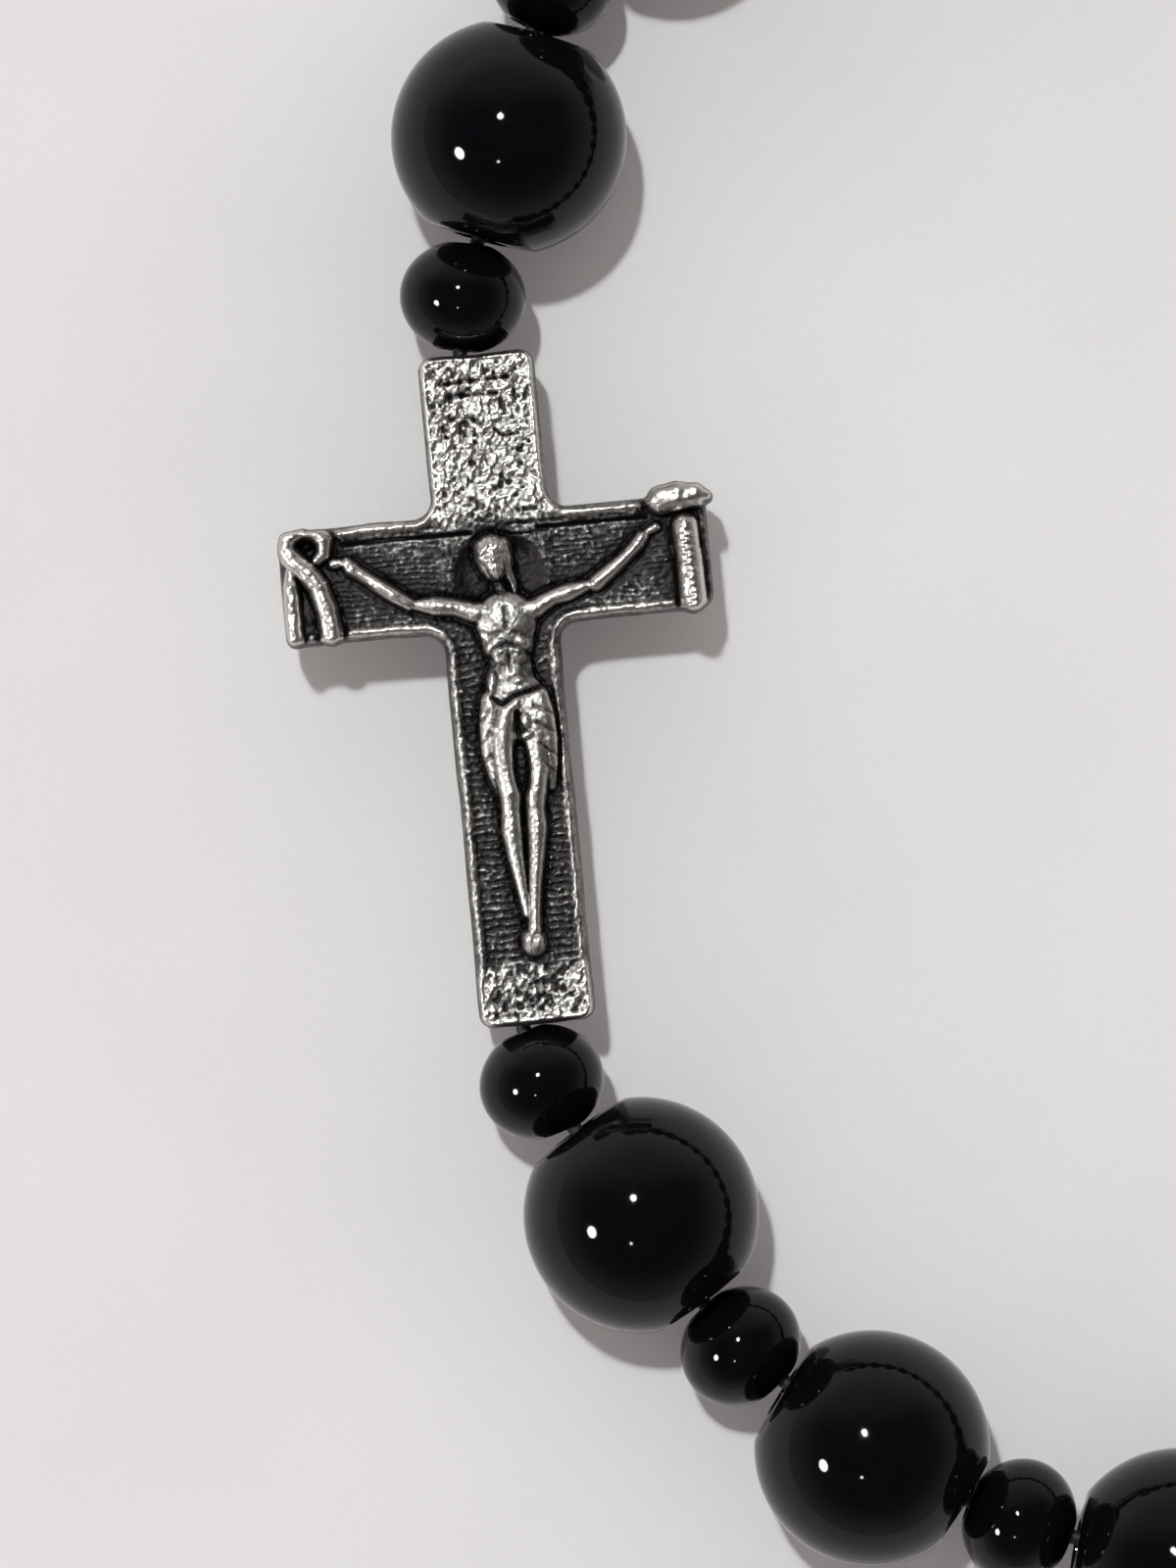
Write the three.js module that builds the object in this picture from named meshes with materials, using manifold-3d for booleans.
// A rosary bracelet: large and small glass beads in turn on one elastic cord, with a cast pewter
// crucifix threaded into the string by a hole that runs the length of its upright.
// Millimetres, +Z up. The bracelet lies flat: its large beads rest on z = 0.

import * as THREE from "three";
import { mergeVertices } from "three/addons/utils/BufferGeometryUtils.js";
import Module from "manifold-3d";

const wasm = await Module();
wasm.setup();

// ---- Driving dimensions -------------------------------------------------------------------

const LARGE = { name: "large_bead", radius: 4.0, halfLength: 3.7, hole: 0.9, around: 16, steps: 8 };
const SMALL = { name: "small_bead", radius: 2.15, halfLength: 1.86, hole: 0.84, around: 12, steps: 6 };

const LARGE_COUNT = 16;
const BEAD_SPACING = 5.61;
const PLAY_IN_SMALL_HOLE = 0.3;
const PLAY_IN_LARGE_HOLE = 0.4;
const CORD_HEIGHT = LARGE.radius - PLAY_IN_LARGE_HOLE;
const THREADED_HEIGHT = CORD_HEIGHT - PLAY_IN_SMALL_HOLE;

const CORD_RADIUS = 0.25;
const CORD_SIDES = 8;
const CORD_STEP = 2.4;
const FRONT_CORD_STEP = 1.3;
const CORD_END_GAP = 0.06;
const KNOT_RADIUS = 0.4;

const CROSS_LENGTH = 22.7;
const CROSS_SPAN = 15.1;
const CROSS_LIMB = 3.96;
const CROSS_THICKNESS = 2.7;
const CROSSING_BELOW_TOP = 7.3;
const CROSS_DRAFT = 0.26;
const CROSS_CHAMFER = 0.8;
const CROSS_INNER_FILLET = 0.9;
const CROSS_CORNER = 0.55;
const CROSS_HOLE = 0.8;
const CROSSING_Y = CROSS_LENGTH / 2 - CROSSING_BELOW_TOP;
const FACE_Z = CROSS_THICKNESS / 2;

// ---- The string's route -------------------------------------------------------------------

// The run of the string, seen from above with the crucifix's middle at (0, 0): up through the crucifix,
// round the wrist side and back to its bottom end. The far points slide along X until the beads close up.
const NEAR_X = 22;
const FIRST_BEAD = new THREE.Vector2(-0.24, 13.38);
const LAST_BEAD = new THREE.Vector2(-0.08, -13.38);
const ROUTE_POINTS = [
  [0, -5], [0, 0], [0, 5], [-0.12, 9], [-0.3, 11.5],
  [-0.24, 13.38], [1.83, 18.6], [3.75, 23.85], [7.65, 27.8],
  [13.2, 31.3], [19.5, 33.6], [28, 34.6], [38, 33.0], [48, 28.6],
  [56, 21], [61.4, 11], [63.2, 0], [61.4, -11], [56, -20.5], [48, -27.8],
  [38, -32.4], [28.6, -33.4], [20.2, -31.8], [14.68, -29.75],
  [9.89, -26.75], [5.78, -22.92], [2.82, -18.08],
  [-0.08, -13.38], [-0.22, -11.5], [-0.1, -9],
];

function routeCurve(farScale) {
  const points = ROUTE_POINTS.map(([x, y]) => {
    const reach = x > NEAR_X ? NEAR_X + (x - NEAR_X) * farScale : x;
    return new THREE.Vector3(reach, y, 0);
  });
  return new THREE.CatmullRomCurve3(points, true, "centripetal");
}

// The curve parameter nearest to a plan point that lies on the curve.
function parameterAt(curve, point) {
  const probe = new THREE.Vector3(point.x, point.y, 0);
  let best = 0;
  const scans = 4000;
  for (let i = 0; i < scans; i += 1) {
    if (curve.getPoint(i / scans).distanceTo(probe) < curve.getPoint(best).distanceTo(probe)) {
      best = i / scans;
    }
  }
  return best;
}

// The next parameter along the curve whose point is one straight link away.
function stepAlong(curve, from, link) {
  const start = curve.getPoint(from);
  let low = from;
  let high = from + 0.09;
  for (let i = 0; i < 50; i += 1) {
    const middle = (low + high) / 2;
    if (curve.getPoint(middle).distanceTo(start) < link) {
      low = middle;
    } else {
      high = middle;
    }
  }
  return low;
}

function threadBeads(curve) {
  const parameters = [parameterAt(curve, FIRST_BEAD)];
  for (let i = 0; i < 2 * LARGE_COUNT; i += 1) {
    parameters.push(stepAlong(curve, parameters.at(-1), BEAD_SPACING));
  }
  return parameters;
}

// The far side is drawn out or in until the last bead meets the crucifix's bottom end.
function closeTheString() {
  let low = 0.6;
  let high = 1.5;
  for (let i = 0; i < 40; i += 1) {
    const middle = (low + high) / 2;
    const curve = routeCurve(middle);
    const overrun = threadBeads(curve).at(-1) - parameterAt(curve, LAST_BEAD);
    if (overrun > 0) {
      low = middle;
    } else {
      high = middle;
    }
  }
  const curve = routeCurve(low);
  return { curve, parameters: threadBeads(curve) };
}

const { curve: route, parameters: beadParameters } = closeTheString();

// ---- Beads --------------------------------------------------------------------------------

function withoutDoubles(geometry) {
  const bare = geometry.index ? geometry.toNonIndexed() : geometry.clone();
  bare.deleteAttribute("normal");
  bare.deleteAttribute("uv");
  const merged = mergeVertices(bare, 1e-5);
  merged.computeVertexNormals();
  return merged;
}

// A slightly flattened ball with a straight hole, revolved about Y.
function beadGeometry({ radius, halfLength, hole, around, steps }) {
  const lastAngle = Math.acos(hole / radius);
  const profile = [];
  for (let i = 0; i <= steps; i += 1) {
    const angle = -lastAngle + (2 * lastAngle * i) / steps;
    profile.push(new THREE.Vector2(radius * Math.cos(angle), halfLength * Math.sin(angle)));
  }
  profile.push(profile[0].clone());
  return withoutDoubles(new THREE.LatheGeometry(profile, around));
}

const beadGlass = new THREE.MeshStandardMaterial({ color: 0x0c0c0e, roughness: 0.06, metalness: 0.0 });
const castPewter = new THREE.MeshStandardMaterial({ color: 0x8d8880, roughness: 0.35, metalness: 1.0 });
const clearElastic = new THREE.MeshStandardMaterial({ color: 0x1a1a1c, roughness: 0.45, metalness: 0.0 });

const largeGeometry = beadGeometry(LARGE);
const smallGeometry = beadGeometry(SMALL);

function placedBead(index, parameter) {
  const isLarge = index % 2 === 1;
  const kind = isLarge ? LARGE : SMALL;
  const number = Math.floor(index / 2) + 1;
  const bead = new THREE.Mesh(isLarge ? largeGeometry : smallGeometry, beadGlass);
  bead.name = `${kind.name}_${String(number).padStart(2, "0")}`;
  const centre = route.getPoint(parameter);
  const along = route.getTangent(parameter);
  bead.position.set(centre.x, centre.y, isLarge ? LARGE.radius : THREADED_HEIGHT);
  bead.rotation.z = Math.atan2(-along.x, along.y);
  return bead;
}

// ---- Elastic cord -------------------------------------------------------------------------

class StretchOfRoute extends THREE.Curve {
  constructor(from, to) {
    super();
    this.from = from;
    this.to = to;
  }

  getPoint(t, target = new THREE.Vector3()) {
    const u = this.from + (this.to - this.from) * t;
    return target.copy(route.getPoint(((u % 1) + 1) % 1)).setZ(CORD_HEIGHT);
  }
}

function roundSection(radius, sides) {
  const section = new THREE.Shape();
  for (let i = 0; i < sides; i += 1) {
    const angle = (2 * Math.PI * (i + 0.5)) / sides;
    const x = radius * Math.cos(angle);
    const y = radius * Math.sin(angle);
    if (i === 0) {
      section.moveTo(x, y);
    } else {
      section.lineTo(x, y);
    }
  }
  return section;
}

function cordGeometry(from, to, step = CORD_STEP) {
  const stretch = new StretchOfRoute(from, to);
  const trim = CORD_END_GAP / stretch.getLength();
  const trimmed = new StretchOfRoute(from + (to - from) * trim, to - (to - from) * trim);
  const steps = Math.max(3, Math.round(stretch.getLength() / step));
  return withoutDoubles(new THREE.ExtrudeGeometry(roundSection(CORD_RADIUS, CORD_SIDES), {
    steps,
    bevelEnabled: false,
    extrudePath: trimmed,
  }));
}

// Two turns of the tied ends, drawn up as a short lump on the cord inside a large bead's hole.
function knotGeometry(parameter) {
  const lump = new THREE.SphereGeometry(KNOT_RADIUS, 8, 4);
  lump.scale(1, 1.7, 1);
  const along = route.getTangent(parameter);
  lump.rotateZ(Math.atan2(-along.x, along.y));
  const middle = route.getPoint(parameter);
  lump.translate(middle.x, middle.y, CORD_HEIGHT);
  return lump;
}

function cordPiece(name, geometry) {
  const piece = new THREE.Mesh(geometry, clearElastic);
  piece.name = name;
  return piece;
}

// ---- Solids joined and cut ----------------------------------------------------------------

function solid(geometry) {
  const bare = withoutDoubles(geometry);
  bare.deleteAttribute("normal");
  return new wasm.Manifold(new wasm.Mesh({
    numProp: 3,
    vertProperties: new Float32Array(bare.attributes.position.array),
    triVerts: new Uint32Array(bare.index.array),
  }));
}

function geometryOf(manifold) {
  const mesh = manifold.getMesh();
  const geometry = new THREE.BufferGeometry();
  geometry.setAttribute("position", new THREE.BufferAttribute(mesh.vertProperties, 3));
  geometry.setIndex(new THREE.BufferAttribute(mesh.triVerts, 1));
  geometry.computeVertexNormals();
  return geometry;
}

function joined(solids) {
  return solids.reduce((whole, next) => whole.add(next));
}

// ---- Crucifix -----------------------------------------------------------------------------

// The cross's outline, drawn anticlockwise from the foot's right-hand corner, with rounded corners.
function crossOutline() {
  const half = CROSS_LIMB / 2;
  const arm = CROSS_SPAN / 2;
  const top = CROSS_LENGTH / 2;
  const low = CROSSING_Y - half;
  const high = CROSSING_Y + half;
  const corners = [
    [half, -top, CROSS_CORNER], [half, low, CROSS_INNER_FILLET], [arm, low, CROSS_CORNER],
    [arm, high, CROSS_CORNER], [half, high, CROSS_INNER_FILLET], [half, top, CROSS_CORNER],
    [-half, top, CROSS_CORNER], [-half, high, CROSS_INNER_FILLET], [-arm, high, CROSS_CORNER],
    [-arm, low, CROSS_CORNER], [-half, low, CROSS_INNER_FILLET], [-half, -top, CROSS_CORNER],
  ];
  const outline = new THREE.Shape();
  corners.forEach(([x, y, radius], i) => {
    const before = corners.at(i - 1);
    const after = corners[(i + 1) % corners.length];
    const corner = new THREE.Vector2(x, y);
    const inward = new THREE.Vector2(before[0] - x, before[1] - y).setLength(radius).add(corner);
    const outward = new THREE.Vector2(after[0] - x, after[1] - y).setLength(radius).add(corner);
    if (i === 0) {
      outline.moveTo(inward.x, inward.y);
    } else {
      outline.lineTo(inward.x, inward.y);
    }
    outline.quadraticCurveTo(x, y, outward.x, outward.y);
  });
  return outline;
}

function crossPlate() {
  const plate = new THREE.ExtrudeGeometry(crossOutline(), {
    depth: CROSS_THICKNESS - 2 * CROSS_CHAMFER,
    curveSegments: 3,
    bevelEnabled: true,
    bevelThickness: CROSS_CHAMFER,
    bevelSize: CROSS_DRAFT,
    bevelOffset: -CROSS_DRAFT,
    bevelSegments: 1,
  });
  plate.translate(0, 0, CROSS_CHAMFER - FACE_Z);
  return solid(plate);
}

// A round limb half sunk in the face, between two points: [x, y, radius] at each end.
function limb(start, end) {
  const [x0, y0, r0] = start;
  const [x1, y1, r1] = end;
  const from = new THREE.Vector3(x0, y0, FACE_Z);
  const to = new THREE.Vector3(x1, y1, FACE_Z);
  const rod = new THREE.CylinderGeometry(r1, r0, from.distanceTo(to), 8, 1);
  const turn = new THREE.Quaternion();
  turn.setFromUnitVectors(new THREE.Vector3(0, 1, 0), to.clone().sub(from).normalize());
  rod.applyQuaternion(turn);
  const middle = from.clone().add(to).multiplyScalar(0.5);
  rod.translate(middle.x, middle.y, middle.z);
  return solid(rod);
}

// An egg-shaped mass half sunk in the face.
function mass(x, y, sizeX, sizeY, sizeZ) {
  const shape = new THREE.SphereGeometry(1, 8, 6);
  shape.scale(sizeX, sizeY, sizeZ);
  shape.translate(x, y, FACE_Z);
  return solid(shape);
}

function corpus() {
  return joined([
    mass(-0.05, 4.45, 0.65, 0.85, 0.75),
    mass(0.05, 2.35, 1.25, 0.8, 0.6),
    mass(0.05, 0.95, 0.9, 1.5, 0.6),
    mass(0.2, -1.35, 1.2, 1.4, 0.7),
    limb([-0.9, 2.6, 0.5], [-2.6, 3.05, 0.42]),
    limb([-2.5, 3.0, 0.42], [-5.1, 4.7, 0.3]),
    limb([1.0, 2.55, 0.5], [3.05, 3.2, 0.42]),
    limb([2.95, 3.15, 0.42], [5.2, 4.85, 0.3]),
    limb([-0.3, -2.0, 0.7], [-0.2, -4.9, 0.6]),
    limb([-0.2, -4.8, 0.6], [0.05, -8.5, 0.36]),
    limb([0.65, -2.0, 0.7], [0.5, -4.9, 0.6]),
    limb([0.5, -4.8, 0.6], [0.2, -8.5, 0.36]),
    mass(0.1, -8.75, 0.5, 0.6, 0.5),
  ]);
}

function pincers() {
  return joined([
    mass(-6.5, 4.75, 0.75, 0.6, 0.45),
    limb([-6.35, 4.6, 0.4], [-5.75, 2.45, 0.34]),
    limb([-6.9, 4.4, 0.34], [-7.0, 2.6, 0.28]),
  ]);
}

function hammer() {
  return joined([
    limb([5.3, 5.6, 0.34], [7.2, 5.45, 0.42]),
    limb([6.35, 5.7, 0.34], [6.0, 2.5, 0.36]),
  ]);
}

function cordHole() {
  const drill = new THREE.CylinderGeometry(CROSS_HOLE, CROSS_HOLE, CROSS_LENGTH + 2, 16, 1);
  return solid(drill);
}

function crucifix() {
  const casting = joined([crossPlate(), corpus(), pincers(), hammer()]).subtract(cordHole());
  const piece = new THREE.Mesh(geometryOf(casting), castPewter);
  piece.name = "crucifix";
  piece.position.set(0, 0, THREADED_HEIGHT);
  return piece;
}

// ---- The whole string ---------------------------------------------------------------------

// The cord is made in stretches that meet midway between two beads. The front stretch holds the crucifix and
// the small bead at each of its ends; each other stretch holds a large bead and the small bead beyond it.
function cordPieces() {
  const last = beadParameters.length - 1;
  const half = LARGE_COUNT / 2;
  const between = (i, j) => (beadParameters[i] + beadParameters[j]) / 2;
  const front = cordGeometry(between(last, last - 1) - 1, between(0, 1), FRONT_CORD_STEP);
  const pieces = [cordPiece("cord_front", front)];
  for (let i = 1; i <= half; i += 1) {
    const near = 2 * i - 1;
    pieces.push(cordPiece(`cord_top_${i}`, cordGeometry(between(near - 1, near), between(near + 1, near + 2))));
  }
  for (let i = 1; i < half; i += 1) {
    const near = last - 2 * i + 1;
    pieces.push(cordPiece(`cord_foot_${i}`, cordGeometry(between(near - 2, near - 1), between(near, near + 1))));
  }
  const tied = last - 2 * half + 1;
  const plain = cordGeometry(between(tied - 1, tied), between(tied, tied + 1));
  const knotted = solid(plain).add(solid(knotGeometry(beadParameters[tied])));
  pieces.push(cordPiece(`cord_foot_${half}`, geometryOf(knotted)));
  return pieces;
}

const bracelet = new THREE.Group();
bracelet.add(crucifix());
beadParameters.forEach((parameter, index) => bracelet.add(placedBead(index, parameter)));
cordPieces().forEach((piece) => bracelet.add(piece));

const middle = new THREE.Box3().setFromObject(bracelet).getCenter(new THREE.Vector3());
bracelet.position.set(-middle.x, -middle.y, 0);

const rosary = new THREE.Group();
rosary.add(bracelet);

export default rosary;
